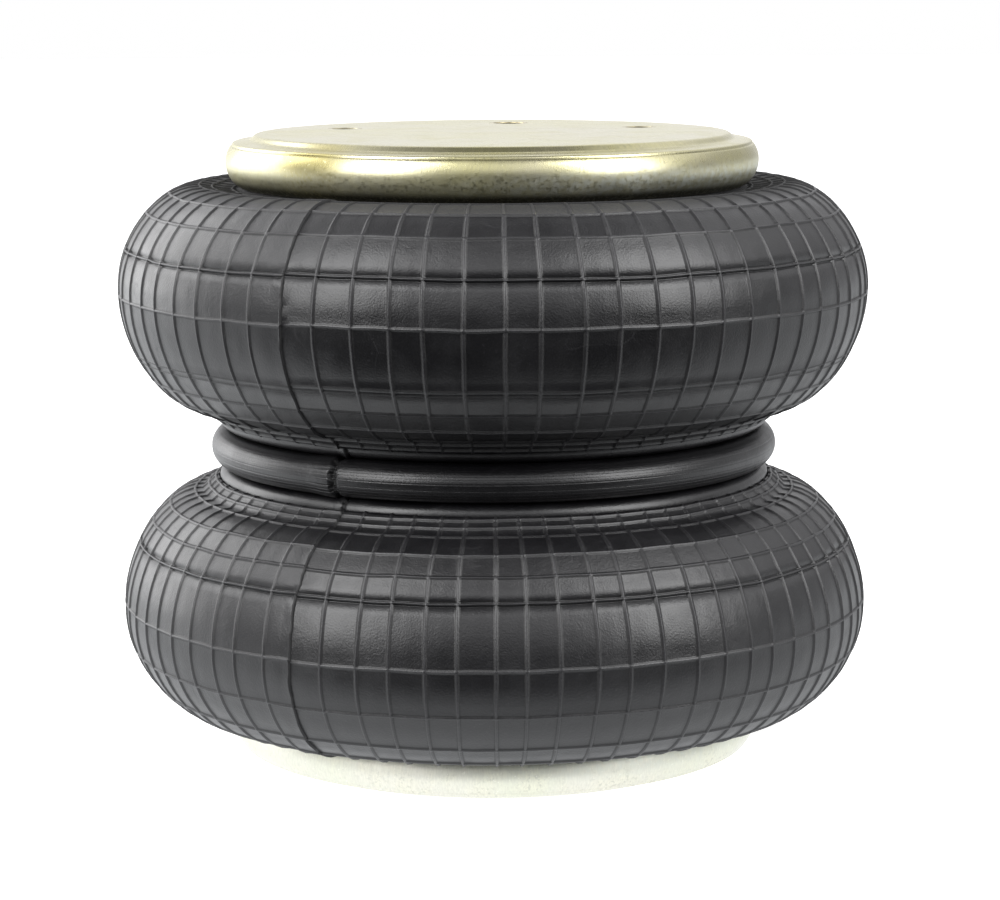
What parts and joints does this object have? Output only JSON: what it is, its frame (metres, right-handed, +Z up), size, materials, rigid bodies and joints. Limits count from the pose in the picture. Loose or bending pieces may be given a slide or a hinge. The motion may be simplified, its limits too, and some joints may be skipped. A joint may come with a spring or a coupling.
{
  "type": "air suspension spring",
  "caption": "Convoluted rubber air bellows with a girdle ring between its bulges and a crimped sheet-steel bead plate at each end, with blind nuts and an air inlet.",
  "frame": {"origin": "centre of the lower bead plate's outer face", "axes": "+Z up the spring's axis towards the upper plate; -Y faces the picture's camera, with the air inlet at the back"},
  "size_m": [0.3246, 0.3244, 0.2688],
  "materials": {
    "yellow_zinc": "satin, yellow passivated zinc",
    "pale_zinc": "satin, clear passivated zinc",
    "nut_zinc": "satin zinc",
    "bright_steel": "plain drawn wire and turned steel",
    "cover_rubber": "satin moulded rubber",
    "inner_rubber": "smooth rubber",
    "cord_ply": "rubbered textile cord",
    "stop_rubber": "matte moulded rubber"
  },
  "bodies": {
    "lower_plate": {"lower_bead_plate": "pale_zinc", "lower_bead_wire": "bright_steel", "lower_bead_filler": "inner_rubber", "lower_blind_nuts": "nut_zinc", "lower_cover": "cover_rubber", "lower_outer_ply": "cord_ply", "lower_inner_ply": "cord_ply", "lower_liner": "inner_rubber", "bump_stop": "stop_rubber", "bump_stop_stud": "bright_steel", "bump_stop_washer": "bright_steel", "bump_stop_nut": "bright_steel"},
    "girdle": {"girdle_cover": "cover_rubber", "girdle_hoop": "bright_steel", "upper_flank_ring": "cover_rubber", "lower_flank_ring": "cover_rubber"},
    "upper_plate": {"upper_bead_plate": "yellow_zinc", "upper_bead_wire": "bright_steel", "upper_bead_filler": "inner_rubber", "upper_blind_nuts": "nut_zinc", "air_inlet_boss": "nut_zinc", "upper_cover": "cover_rubber", "upper_outer_ply": "cord_ply", "upper_inner_ply": "cord_ply", "upper_liner": "inner_rubber"}
  },
  "joints": [
    {"name": "girdle_travel", "type": "slide", "parent": "lower_plate", "child": "girdle", "axis": [0, 0, 1], "range_m": [-0.09, 0.009], "stiffness_N_per_m": 3600, "springref_m": 0.0073, "deforming": ["lower_cover", "lower_outer_ply", "lower_inner_ply", "lower_liner"]},
    {"name": "plate_travel", "type": "slide", "parent": "girdle", "child": "upper_plate", "axis": [0, 0, 1], "range_m": [-0.09, 0.009], "stiffness_N_per_m": 3600, "springref_m": 0.0073, "deforming": ["upper_cover", "upper_outer_ply", "upper_inner_ply", "upper_liner"]}
  ],
  "couplings": [
    {"joint": "girdle_travel", "follows": "plate_travel", "ratio": 1}
  ]
}
